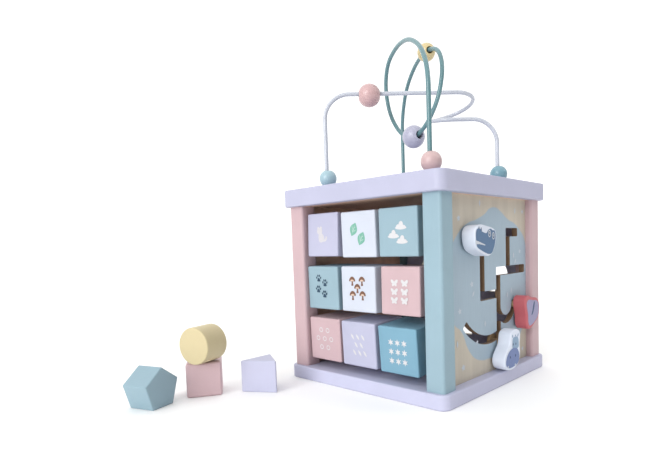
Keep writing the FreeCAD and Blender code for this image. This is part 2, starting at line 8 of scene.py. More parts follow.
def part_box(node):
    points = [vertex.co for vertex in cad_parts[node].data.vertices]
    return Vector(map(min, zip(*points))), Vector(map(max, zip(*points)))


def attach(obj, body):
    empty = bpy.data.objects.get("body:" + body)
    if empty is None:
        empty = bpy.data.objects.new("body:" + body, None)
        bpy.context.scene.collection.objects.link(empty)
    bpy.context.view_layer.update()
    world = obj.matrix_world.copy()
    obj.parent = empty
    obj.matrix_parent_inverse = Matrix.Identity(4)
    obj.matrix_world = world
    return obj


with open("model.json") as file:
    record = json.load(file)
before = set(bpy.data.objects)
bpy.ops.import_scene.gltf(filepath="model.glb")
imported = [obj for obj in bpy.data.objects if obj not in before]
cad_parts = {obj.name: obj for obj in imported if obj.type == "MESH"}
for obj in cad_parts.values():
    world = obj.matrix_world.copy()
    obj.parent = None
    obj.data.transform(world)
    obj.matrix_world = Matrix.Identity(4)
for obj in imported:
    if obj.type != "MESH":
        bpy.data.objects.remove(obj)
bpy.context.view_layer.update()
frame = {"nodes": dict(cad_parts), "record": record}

MM = 0.001
NODES = frame["nodes"]
BODY_OF = {node: body for body, nodes in frame["record"]["behaviour"]["bodies"].items() for node in nodes}


# ---------------------------------------------------------------- colours
# How many times the paint's own brightness a face turned to the key light comes out at.
KEY_LIT = 1.5


def tint(red, green, blue):
    """The paint that looks like these 0 to 255 display values on a face turned to the key light."""
    linear = []
    for value in (red, green, blue):
        share = value / 255
        linear.append((share / 12.92 if share <= 0.04045 else ((share + 0.055) / 1.055) ** 2.4) / KEY_LIT)
    return (*linear, 1.0)


def scaled(colour, factor):
    return tuple(min(1.0, value * factor) for value in colour[:3]) + (1.0,)


LAVENDER = tint(211, 212, 238)
PALE_PINK = tint(229, 197, 202)
SEA_GREEN = tint(169, 200, 214)
# The back left post's green is the sea green painted darker, as painted shade for the post inside the box.
SHADED_SEA_GREEN = tint(128, 168, 180)
CLOUD_WHITE = tint(232, 239, 253)
LAKE_BLUE = tint(138, 189, 213)
SAND_YELLOW = tint(243, 226, 178)
WIRE_GREEN = tint(112, 156, 162)
WIRE_WHITE = tint(226, 231, 243)
PLYWOOD = tint(230, 220, 202)
BARE_PLYWOOD = (0.72, 0.48, 0.36, 1.0)
CORAL = tint(222, 112, 120)


# ---------------------------------------------------------------- materials
class Surface:
    """A Principled material with short calls that wire procedural nodes into it."""

    def __init__(self, name, roughness, coat=0.0, metallic=0.0):
        self.material = bpy.data.materials.new(name)
        self.material.use_nodes = True
        self.tree = self.material.node_tree
        self.shader = next(node for node in self.tree.nodes if node.type == "BSDF_PRINCIPLED")
        self.shader.inputs["Roughness"].default_value = roughness
        self.shader.inputs["Metallic"].default_value = metallic
        self.shader.inputs["Coat Weight"].default_value = coat
        self.shader.inputs["Coat Roughness"].default_value = 0.12
        coordinates = self.tree.nodes.new("ShaderNodeTexCoord")
        self.place = coordinates.outputs["Object"]
        self.facing = coordinates.outputs["Normal"]

    def node(self, kind, settings=None, **inputs):
        """A new node. Each input is a value or another node's output."""
        node = self.tree.nodes.new(kind)
        for key, value in (settings or {}).items():
            setattr(node, key, value)
        for key, value in inputs.items():
            socket = node.inputs[int(key[1:])] if key[0] == "i" and key[1:].isdigit() else node.inputs[key]
            if isinstance(value, bpy.types.NodeSocket):
                self.tree.links.new(value, socket)
            else:
                socket.default_value = value
        return node

    def noise(self, scale, stretch=(1, 1, 1), detail=3.0, offset=(0, 0, 0)):
        moved = self.node("ShaderNodeMapping", Vector=self.place, Scale=stretch, Location=offset)
        pattern = self.node("ShaderNodeTexNoise", Vector=moved.outputs[0], Scale=scale, Detail=detail)
        return pattern.outputs["Fac"]

    def sum(self, operation, first, second=0.0):
        return self.node("ShaderNodeMath", {"operation": operation}, i0=first, i1=second).outputs[0]

    def spread(self, value, low, high, to_low=0.0, to_high=1.0):
        """Map low..high of a value to to_low..to_high, and hold the ends."""
        ranged = self.node("ShaderNodeMapRange", Value=value)
        ranged.inputs["From Min"].default_value = low
        ranged.inputs["From Max"].default_value = high
        ranged.inputs["To Min"].default_value = to_low
        ranged.inputs["To Max"].default_value = to_high
        return ranged.outputs[0]

    def mix(self, share, first, second):
        mixer = self.node("ShaderNodeMix", {"data_type": "RGBA"})
        for name, value in (("Factor_Float", share), ("A_Color", first), ("B_Color", second)):
            socket = next(one for one in mixer.inputs if one.identifier == name)
            if isinstance(value, bpy.types.NodeSocket):
                self.tree.links.new(value, socket)
            else:
                socket.default_value = value
        return next(one for one in mixer.outputs if one.identifier == "Result_Color")

    def use(self, colour=None, roughness=None, height=None, depth=0.0001, strength=0.3):
        """Send the finished signals to the shader."""
        if colour is not None:
            self.tree.links.new(colour, self.shader.inputs["Base Color"])
        if roughness is not None:
            self.tree.links.new(roughness, self.shader.inputs["Roughness"])
        if height is not None:
            bump = self.node("ShaderNodeBump", Height=height, Strength=strength, Distance=depth)
            self.tree.links.new(bump.outputs[0], self.shader.inputs["Normal"])
        return self.material


# Stretch of a noise along the grain.
ALONG = {"X": (0.04, 1, 1), "Y": (1, 0.04, 1), "Z": (1, 1, 0.04)}


def painted_wood(name, colour, grain="Z", roughness=0.5):
    """Matt paint over wood: faint mottling, and grain that just shows through as fine lines."""
    surface = Surface(name, roughness)
    mottle = surface.spread(surface.noise(38, detail=4.0), 0.3, 0.7)
    lines = surface.noise(1500, ALONG[grain], detail=2.0)
    paint = surface.mix(mottle, scaled(colour, 0.965), scaled(colour, 1.02))
    paint = surface.mix(surface.spread(lines, 0.55, 0.85, 0, 0.16), paint, scaled(colour, 0.86))
    shine = surface.spread(surface.noise(420), 0.3, 0.7, roughness - 0.05, roughness + 0.07)
    return surface.use(paint, shine, lines, 0.00012, 0.25)


def lacquer(name, colour):
    """Glossy paint on turned wood."""
    surface = Surface(name, 0.34, coat=0.25)
    mottle = surface.spread(surface.noise(70, detail=4.0), 0.3, 0.7)
    paint = surface.mix(mottle, scaled(colour, 0.95), scaled(colour, 1.03))
    shine = surface.spread(surface.noise(600), 0.3, 0.7, 0.3, 0.42)
    return surface.use(paint, shine, surface.noise(260, detail=2.0), 0.00015, 0.15)


def enamel(name, colour):
    """The smooth coating of a bent steel wire."""
    surface = Surface(name, 0.3, coat=0.3)
    cloudy = surface.spread(surface.noise(60, detail=4.0), 0.3, 0.7)
    paint = surface.mix(cloudy, scaled(colour, 0.93), scaled(colour, 1.03))
    shine = surface.spread(surface.noise(800), 0.3, 0.7, 0.26, 0.38)
    return surface.use(paint, shine, surface.noise(500, detail=2.0), 0.0001, 0.15)


def wood_colour(surface, colour, grain):
    """Bare wood: broad bands, fine fibres and a few dark pores along the grain."""
    bands = surface.spread(surface.noise(90, ALONG[grain], detail=5.0), 0.3, 0.7)
    fibres = surface.noise(1300, ALONG[grain], detail=3.0, offset=(0.3, 0.1, 0.2))
    pores = surface.spread(surface.noise(2600, ALONG[grain], detail=1.0), 0.68, 0.8, 0, 0.35)
    wood = surface.mix(bands, scaled(colour, 0.9), scaled(colour, 1.06))
    wood = surface.mix(surface.spread(fibres, 0.4, 0.75, 0, 0.3), wood, scaled(colour, 0.82))
    return surface.mix(pores, wood, scaled(colour, 0.6)), fibres


def bare_wood(name, colour, grain="Z"):
    surface = Surface(name, 0.62)
    wood, fibres = wood_colour(surface, colour, grain)
    shine = surface.spread(surface.noise(500), 0.3, 0.7, 0.55, 0.7)
    return surface.use(wood, shine, fibres, 0.0002, 0.35)


def facing_share(surface, axis, low, high):
    """0 to 1 as the surface turns towards an axis."""
    parts = surface.node("ShaderNodeSeparateXYZ", Vector=surface.facing)
    return surface.spread(parts.outputs[axis], low, high)


# The lid's bare middle underneath: how far it reaches from the centre, and where the paint is whole again.
BARE_REACH, PAINT_REACH = 95 * MM, 97 * MM


def lid_material():
    """Painted on top and round the edge, and left bare underneath between the posts."""
    surface = Surface("lid_paint", 0.5)
    mottle = surface.spread(surface.noise(38, detail=4.0), 0.3, 0.7)
    lines = surface.noise(1500, ALONG["X"], detail=2.0)
    paint = surface.mix(mottle, scaled(LAVENDER, 0.965), scaled(LAVENDER, 1.02))
    wood, _ = wood_colour(surface, BARE_PLYWOOD, "X")
    spot = surface.node("ShaderNodeSeparateXYZ", Vector=surface.place)
    reach = surface.sum("MAXIMUM", surface.sum("ABSOLUTE", spot.outputs["X"]),
                        surface.sum("ABSOLUTE", spot.outputs["Y"]))
    inside = surface.spread(reach, PAINT_REACH, BARE_REACH)
    below = surface.sum("MULTIPLY", facing_share(surface, "Z", -0.6, -0.9), inside)
    colour = surface.mix(below, paint, wood)
    shine = surface.spread(surface.noise(420), 0.3, 0.7, 0.45, 0.57)
    return surface.use(colour, shine, lines, 0.00012, 0.25)


# The printed patch on the maze panel: its middle and outline as (towards +Y, up) in millimetres, a length
# longer than the way from the middle to any of it, and half the width of its soft edge.
PATCH_MIDDLE = (7.0, 104.0)
PATCH_OUTLINE = [
    (84, 113), (81, 132), (74.7, 148), (64, 157), (50.5, 164), (36, 168), (21.9, 175), (10, 179), (-0.6, 178),
    (-14, 171), (-26, 167), (-39.6, 164), (-53, 159), (-65.8, 149.3), (-76, 139), (-86, 124), (-88, 104),
    (-84, 86), (-75, 75), (-67, 68), (-59, 63), (-54, 57), (-50, 49), (-44, 41), (-36, 34), (-18, 28),
    (-6, 27.6), (20, 27), (44, 31), (60, 38), (70, 50), (77, 66), (82, 88),
]
PATCH_SPAN = 120 * MM
PATCH_EDGE = 0.5 * MM


def patch_share(surface):
    """1 inside the printed patch and 0 outside: how far it reaches is a curve of the direction."""
    spot = surface.node("ShaderNodeSeparateXYZ", Vector=surface.place)
    across = surface.sum("SUBTRACT", spot.outputs["Y"], PATCH_MIDDLE[0] * MM)
    up = surface.sum("SUBTRACT", spot.outputs["Z"], PATCH_MIDDLE[1] * MM)
    turn = surface.spread(surface.sum("ARCTAN2", up, across), -math.pi, math.pi)
    away = surface.sum("SQRT", surface.sum("ADD", surface.sum("MULTIPLY", across, across),
                                           surface.sum("MULTIPLY", up, up)))
    polar = []
    for y, z in PATCH_OUTLINE:
        y, z = y - PATCH_MIDDLE[0], z - PATCH_MIDDLE[1]
        polar.append((math.atan2(z, y) / (2 * math.pi) + 0.5, math.hypot(y, z) * MM / PATCH_SPAN))
    polar.sort()
    seam = (polar[0][1] + polar[-1][1]) / 2
    polar = [(0.0, seam)] + polar + [(1.0, seam)]
    reach = surface.node("ShaderNodeFloatCurve", Value=turn)
    curve = reach.mapping.curves[0]
    curve.points[0].location, curve.points[1].location = polar[0], polar[-1]
    for point in polar[1:-1]:
        curve.points.new(*point)
    reach.mapping.update()
    edge = surface.sum("MULTIPLY", reach.outputs[0], PATCH_SPAN)
    return surface.spread(surface.sum("SUBTRACT", away, edge), PATCH_EDGE, -PATCH_EDGE)


def maze_material():
    """Plywood with a pale blue printed patch on the outer face, and scorched walls in the slots."""
    surface = Surface("maze_print", 0.55)
    wood, fibres = wood_colour(surface, PLYWOOD, "Z")
    print_colour = surface.mix(surface.spread(fibres, 0.3, 0.8), tint(192, 214, 229), tint(184, 206, 222))
    outer = facing_share(surface, "X", 0.5, 0.8)
    colour = surface.mix(surface.sum("MULTIPLY", patch_share(surface), outer), wood, print_colour)
    plies = surface.node("ShaderNodeTexWave", {"wave_type": "BANDS", "bands_direction": "X"},
                         Vector=surface.place, Scale=260.0, Distortion=1.5).outputs["Fac"]
    scorched = surface.mix(plies, tint(120, 92, 68), tint(176, 146, 116))
    sideways = surface.spread(surface.sum("ABSOLUTE", surface.node(
        "ShaderNodeSeparateXYZ", Vector=surface.facing).outputs["X"]), 0.8, 0.5)
    colour = surface.mix(sideways, colour, scorched)
    inward = facing_share(surface, "X", -0.5, -0.8)
    inner_wood, _ = wood_colour(surface, BARE_PLYWOOD, "Z")
    colour = surface.mix(inward, colour, inner_wood)
    shine = surface.spread(surface.noise(500), 0.3, 0.7, 0.5, 0.64)
    return surface.use(colour, shine, fibres, 0.0002, 0.3)


def panel_material(name, axis, sign, inside):
    """Clear plywood outside and another finish inside; sign says which way is inside."""
    surface = Surface(name, 0.58)
    wood, fibres = wood_colour(surface, PLYWOOD, "Z")
    inner_wood, _ = wood_colour(surface, inside, "Z")
    inward = facing_share(surface, axis, 0.5 * sign, 0.8 * sign)
    shine = surface.spread(surface.noise(500), 0.3, 0.7, 0.5, 0.64)
    return surface.use(surface.mix(inward, wood, inner_wood), shine, fibres, 0.0002, 0.3)


def steel(name):
    surface = Surface(name, 0.35, metallic=1.0)
    worn = surface.spread(surface.noise(900, detail=4.0), 0.3, 0.7)
    metal = surface.mix(worn, tint(168, 168, 172), tint(206, 206, 210))
    shine = surface.spread(surface.noise(2400), 0.3, 0.7, 0.28, 0.45)
    return surface.use(metal, shine, surface.noise(3000, detail=2.0), 0.00005, 0.3)


def ink(name, colour):
    """A thin printed layer."""
    surface = Surface(name, 0.55)
    patchy = surface.spread(surface.noise(500, detail=4.0), 0.3, 0.7)
    print_colour = surface.mix(patchy, scaled(colour, 0.95), scaled(colour, 1.03))
    return surface.use(print_colour, surface.spread(surface.noise(1500), 0.3, 0.7, 0.5, 0.62))


def dress(node, material):
    """Give a CAD node its material."""
    slots = NODES[node].material_slots
    if not slots:
        NODES[node].data.materials.append(material)
    for slot in slots:
        slot.material = material


def dress_all():
    """Every CAD node's material. What stands lowest has its colour brightened 1.12 to 1.3 times over the
    box's paint: painted light, making up for the scene's lights leaving low parts too dark.
    """
    # The factors on base, crocodile, hippo, block_cube and block_triangle are painted light: a brighter
    # colour where the scene lights low parts too dimly.
    plain = {
        "base": ("base_paint", scaled(LAVENDER, 1.12), "X"),
        "post_front_left": ("pink_post", PALE_PINK, "Z"),
        "post_front_right": ("green_post", SEA_GREEN, "Z"),
        # Painted shade: the back left post takes a darker copy of the sea green.
        "post_back_left": ("shaded_green_post", SHADED_SEA_GREEN, "Z"),
        "post_back_right": ("pink_back_post", PALE_PINK, "Z"),
        "turning_cube_top_left": ("cube_lavender", LAVENDER, "X"),
        "turning_cube_top_centre": ("cube_white", CLOUD_WHITE, "X"),
        "turning_cube_top_right": ("cube_green", SEA_GREEN, "X"),
        "turning_cube_middle_left": ("cube_green_2", SEA_GREEN, "X"),
        "turning_cube_middle_centre": ("cube_white_2", CLOUD_WHITE, "X"),
        "turning_cube_middle_right": ("cube_pink", PALE_PINK, "X"),
        "turning_cube_bottom_left": ("cube_pink_2", PALE_PINK, "X"),
        "turning_cube_bottom_centre": ("cube_lavender_2", LAVENDER, "X"),
        "turning_cube_bottom_right": ("cube_blue", LAKE_BLUE, "X"),
        "crocodile": ("crocodile_paint", scaled(CLOUD_WHITE, 1.2), "Z"),
        "hippo": ("hippo_paint", scaled(CLOUD_WHITE, 1.3), "Z"),
        "bird": ("bird_paint", CORAL, "Z"),
        "block_cube": ("block_pink", scaled(PALE_PINK, 1.14), "Z"),
        "block_cylinder": ("block_yellow", SAND_YELLOW, "Y"),
        "block_triangle": ("block_lavender", scaled(LAVENDER, 1.12), "Z"),
        "block_pentagon": ("block_green", SEA_GREEN, "Y"),
    }
    for node, (name, colour, grain) in plain.items():
        dress(node, painted_wood(name, colour, grain))
    beads = {
        # bead_teal_back is the same teal as bead_teal_front, painted darker as shade.
        "bead_teal_front": tint(190, 224, 236), "bead_teal_back": tint(138, 184, 200),
        "bead_pink_foot": tint(234, 200, 199), "bead_pink_large": tint(232, 192, 192),
        "bead_lavender": tint(204, 204, 226), "bead_yellow": tint(246, 224, 166),
    }
    for node, colour in beads.items():
        dress(node, lacquer(node + "_lacquer", colour))
    dress("wire_white", enamel("white_enamel", WIRE_WHITE))
    dress("wire_green", enamel("green_enamel", WIRE_GREEN))
    for node in ("ferrules_white", "ferrules_green"):
        dress(node, enamel(node + "_enamel", WIRE_WHITE))
    dress("deck", lid_material())
    dress("maze_panel", maze_material())
    dress("sorter_panel", panel_material("sorter_wood", "Y", -1, LAVENDER))
    dress("left_panel", panel_material("left_wood", "X", 1, BARE_PLYWOOD))
    for node in NODES:
        if node.startswith("dowel"):
            dress(node, bare_wood(node + "_wood", tint(226, 216, 204), "X"))
        elif node.endswith(("_peg", "_disc")) or node == "deck_pins":
            dress(node, bare_wood(node + "_wood", tint(200, 170, 130), "X"))
        elif "screw" in node:
            dress(node, steel(node + "_steel"))


# ---------------------------------------------------------------- flat printed shapes
# A shape is a list of outlines in millimetres on the face: the first is the outside, the rest are holes.
def ellipse(x, y, half_width, half_height, turn=0.0, corners=28):
    points = []
    slant = math.radians(turn)
    for corner in range(corners):
        angle = 2 * math.pi * corner / corners
        across, up = half_width * math.cos(angle), half_height * math.sin(angle)
        points.append((x + across * math.cos(slant) - up * math.sin(slant),
                       y + across * math.sin(slant) + up * math.cos(slant)))
    return [points]


def ring(x, y, half_width, half_height, line):
    outside = ellipse(x, y, half_width, half_height)[0]
    inside = ellipse(x, y, half_width - line, half_height - line)[0]
    return [outside, inside]


def star(x, y, radius, points=5, waist=0.5, turn=0.0):
    outline = []
    for corner in range(2 * points):
        reach = radius if corner % 2 == 0 else radius * waist
        angle = math.pi / 2 + math.radians(turn) + math.pi * corner / points
        outline.append((x + reach * math.cos(angle), y + reach * math.sin(angle)))
    return [outline]


def leaf(x, y, length, width, turn):
    """A pointed leaf: two arcs that meet at the tips. turn is the angle of its long axis."""
    slant = math.radians(turn)
    outline = []
    steps = 12
    for side in (1, -1):
        for step in range(steps):
            along = (step / steps - 0.5) * length * side
            off = side * width / 2 * math.cos(math.pi * along / length)
            outline.append((x + along * math.cos(slant) - off * math.sin(slant),
                            y + along * math.sin(slant) + off * math.cos(slant)))
    return [outline]


def smooth(points, steps=6):
    """A closed curve through points."""
    outline = []
    count = len(points)
    for number in range(count):
        before, start, end, after = (points[(number + shift) % count] for shift in (-1, 0, 1, 2))
        for step in range(steps):
            t = step / steps
            outline.append(tuple(
                0.5 * (2 * start[axis] + (end[axis] - before[axis]) * t
                       + (2 * before[axis] - 5 * start[axis] + 4 * end[axis] - after[axis]) * t ** 2
                       + (3 * start[axis] - before[axis] - 3 * end[axis] + after[axis]) * t ** 3)
                for axis in (0, 1)))
    return [outline]


def cloud(x, y):
    """A flat foot with three puffs on it."""
    return [ellipse(x, y - 2.0, 6.6, 1.7), ellipse(x - 3.1, y - 0.7, 2.1, 1.9),
            ellipse(x + 0.3, y + 1.0, 2.5, 3.1), ellipse(x + 3.6, y - 1.2, 1.8, 1.6)]


def paw(x, y):
    toes = [ellipse(x + across, y + up, 0.95, 1.35, turn)
            for across, up, turn in ((-3.1, 0.9, 20), (-1.2, 3.0, 8), (1.2, 3.0, -8), (3.1, 0.9, -20))]
    pad = smooth([(x, y + 0.9), (x + 1.7, y - 0.6), (x + 2.4, y - 2.6), (x + 0.9, y - 3.3), (x, y - 2.9),
                  (x - 0.9, y - 3.3), (x - 2.4, y - 2.6), (x - 1.7, y - 0.6)])
    return [pad] + toes


def mushroom_cap(x, y):
    return [smooth([(x - 4.2, y), (x - 3.6, y + 2.2), (x - 1.8, y + 4.0), (x, y + 4.5), (x + 1.8, y + 4.0),
                    (x + 3.6, y + 2.2), (x + 4.2, y), (x + 2.8, y - 0.4), (x, y - 0.1), (x - 2.8, y - 0.4)])]


def mushroom_stem(x, y):
    return [smooth([(x - 0.9, y), (x + 0.9, y), (x + 1.0, y - 2.4), (x + 1.5, y - 4.4), (x, y - 4.8),
                    (x - 1.5, y - 4.4), (x - 1.0, y - 2.4)])]


def mushroom_gills(x, y):
    return [smooth([(x - 2.6, y + 0.3), (x, y + 1.6), (x + 2.6, y + 0.3), (x, y - 0.3)])]


def butterfly(x, y):
    wings = [ellipse(x + side * across, y + up, width, height, -side * lean)
             for side in (-1, 1)
             for across, up, width, height, lean in ((2.3, 1.3, 1.5, 2.3, 40), (1.6, -1.6, 1.2, 1.5, 140))]
    return wings + [ellipse(x, y - 0.2, 0.6, 2.2)]


def small_animal(x, y):
    """A sitting furry animal seen from the side, with a curled tail."""
    body = smooth([(x - 2.6, y + 2.6), (x + 1.0, y + 1.4), (x + 3.6, y - 1.6), (x + 4.0, y - 5.2),
                   (x + 1.4, y - 7.8), (x - 2.8, y - 7.6), (x - 4.6, y - 4.0), (x - 4.4, y - 0.4)])
    tail = smooth([(x + 2.6, y - 7.2), (x + 6.6, y - 6.8), (x + 8.6, y - 3.4), (x + 6.8, y - 1.6),
                   (x + 5.8, y - 3.8), (x + 4.2, y - 5.2)])
    head = ellipse(x - 2.8, y + 4.0, 4.2, 3.5, 12)
    ears = [ellipse(x - 5.0, y + 6.8, 1.5, 1.8), ellipse(x - 0.8, y + 7.2, 1.5, 1.8)]
    return [body, tail, head] + ears


# Height of the lowest printed shape over its face, and of each next shape over the one below.
INK_LIFT = 0.06 * MM
INK_STEP = 0.02 * MM


def print_shapes(name, body, place, layers):
    """One thin mesh with printed layers on a face. place takes the face's own millimetres to the row frame;
    layers is a list of (material, shapes), from the lowest up."""
    vertices, faces, owners = [], [], []
    lift = INK_LIFT
    materials = [material for material, _ in layers]
    for number, (_, shapes) in enumerate(layers):
        for shape in shapes:
            first = len(vertices)
            flat = [point for outline in shape for point in outline]
            vertices += [place @ Vector((x * MM, y * MM, lift)) for x, y in flat]
            loops = [[Vector((x, y, 0)) for x, y in outline] for outline in shape]
            for triangle in tessellate_polygon(loops):
                corners = [flat[corner] for corner in triangle]
                area = ((corners[1][0] - corners[0][0]) * (corners[2][1] - corners[0][1])
                        - (corners[2][0] - corners[0][0]) * (corners[1][1] - corners[0][1]))
                order = triangle if area > 0 else triangle[::-1]
                faces.append([first + corner for corner in order])
                owners.append(number)
            lift += INK_STEP
    mesh = bpy.data.meshes.new(name)
    mesh.from_pydata(vertices, [], faces)
    for material in materials:
        mesh.materials.append(material)
    mesh.polygons.foreach_set("material_index", owners)
    piece = bpy.data.objects.new(name, mesh)
    bpy.context.scene.collection.objects.link(piece)
    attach(piece, body)
    return piece


def flat_face(node, direction):
    """The plane of the large flat face of a CAD node that looks most nearly along direction."""
    mesh = NODES[node].data
    direction = Vector(direction)
    total = Vector()
    for polygon in mesh.polygons:
        if polygon.normal.dot(direction) > 0.985:
            total += polygon.normal * polygon.area ** 2
    normal = total.normalized()
    height = max(vertex.co.dot(normal) for vertex in mesh.vertices)
    return normal, height


def cube_face(node, direction):
    """Matrix of a turning cube's face: x to the right and y up as the face is looked at."""
    normal, height = flat_face(node, direction)
    low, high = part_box(node)
    centre = (Vector(low) + Vector(high)) / 2
    centre += normal * (height - centre.dot(normal))
    right = Vector((1, 0, 0))
    up = normal.cross(right)
    return Matrix.Translation(centre) @ Matrix((right, up, normal)).transposed().to_4x4()


def panel_face(height):
    """Matrix for shapes given as (towards +Y, up) in the row frame, on a plane x = height."""
    return Matrix.Translation((height, 0, 0)) @ Matrix(((0, 0, 1), (1, 0, 0), (0, 1, 0))).to_4x4()


def grid(columns, rows, step_x, step_y, x=0.0, y=0.0):
    return [(x + (column - (columns - 1) / 2) * step_x, y - (row - (rows - 1) / 2) * step_y)
            for row in range(rows) for column in range(columns)]


def staggered(counts, step_x, step_y, x=0.0, y=0.0, slant=0.0):
    """Rows with different counts, centred under each other; slant shifts each lower row sideways."""
    points = []
    for row, count in enumerate(counts):
        level = (len(counts) - 1) / 2 - row
        points += [(x + (number - (count - 1) / 2) * step_x - level * slant, y + level * step_y)
                   for number in range(count)]
    return points


def all_of(maker, places):
    return [shape for x, y in places for shape in maker(x, y)]


def print_cubes():
    """The same picture on the front and the back of each turning cube."""
    white = ink("white_ink", tint(243, 242, 244))
    soft_white = ink("soft_white_ink", tint(234, 231, 236))
    navy = ink("navy_ink", tint(38, 74, 100))
    brown = ink("brown_ink", tint(138, 96, 74))
    peach = ink("peach_ink", tint(246, 216, 192))
    mint = ink("mint_ink", tint(134, 202, 180))
    vein = ink("vein_ink", tint(190, 228, 216))
    mushrooms = [(-7.4, 8.2), (5.8, 8.4), (-0.6, 1.0), (-7.2, -6.3), (6.2, -6.0)]
    leaves = [(-5.4, 5.0), (4.4, -4.4)]
    pictures = {
        "top_left": [(soft_white, small_animal(-1.0, 0.0))],
        "top_centre": [(mint, [leaf(x, y, 14.4, 9.8, 64) for x, y in leaves]),
                       (vein, [leaf(x, y, 10.6, 1.2, 64) for x, y in leaves]
                        + [leaf(x + side * 1.5, y + up, 4.2, 1.0, 64 - side * 38)
                           for x, y in leaves for side in (-1, 1) for up in (-1.4, 1.8)])],
        "top_right": [(white, all_of(cloud, [(3.9, 5.7), (-4.9, -2.1), (5.1, -7.3)]))],
        "middle_left": [(navy, all_of(paw, [(-5.8, 9.8), (3.6, 5.0), (-6.8, -2.0), (2.6, -7.0)]))],
        "middle_centre": [(brown, all_of(mushroom_stem, mushrooms) + all_of(mushroom_cap, mushrooms)),
                          (peach, all_of(mushroom_gills, mushrooms))],
        "middle_right": [(white, all_of(butterfly, grid(2, 3, 12.0, 8.2, -0.4, -0.9)))],
        "bottom_left": [(white, [ring(x, y, 2.8, 2.6, 0.85)
                                 for x, y in staggered((2, 3, 2), 10.0, 9.3, -0.5, 0.5)])],
        "bottom_centre": [(white, [leaf(x, y, 7.4, 2.5, -54)
                                   for x, y in staggered((3, 2, 3), 7.1, 8.1, 0.4, -0.4, 0.9)])],
        "bottom_right": [(white, [star(x, y, 3.7, 6, 0.42) for x, y in grid(3, 3, 7.9, 9.0, 0.3, -1.0)])],
    }
    for name, layers in pictures.items():
        node = "turning_cube_" + name
        for side, direction in (("front", (0, -1, 0)), ("back", (0, 1, 0))):
            place = cube_face(node, direction)
            print_shapes("print_%s_%s" % (side, name), BODY_OF[node], place, layers)


def print_maze():
    """Small stars and drops all over the maze panel."""
    white = ink("star_ink", tint(222, 232, 242))
    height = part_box("maze_panel")[1][0]
    stars = [(-60, 167, 3.2), (-38.4, 105, 3.4), (-60.5, 81.5, 3.2), (-56, 28.2, 3.6), (69, 24.7, 2.8),
             (71, 176.3, 2.8), (2, 136, 2.6), (64, 133, 2.8), (-30, 48, 2.4)]
    drops = [(-21.6, 182.2, 90), (53.2, 176.6, 90), (49, 129.3, 90), (52.8, 122.7, 60), (-36.2, 95.6, 55),
             (42.6, 92, 80), (33.2, 88, 90), (-14.6, 64.1, 90), (-66, 52, 90)]
    shapes = [star(x, y, radius, 5, 0.55, 10) for x, y, radius in stars]
    shapes += [leaf(x, y, 7.0, 2.6, turn) for x, y, turn in drops]
    print_shapes("print_maze", BODY_OF["maze_panel"], panel_face(height), [(white, shapes)])


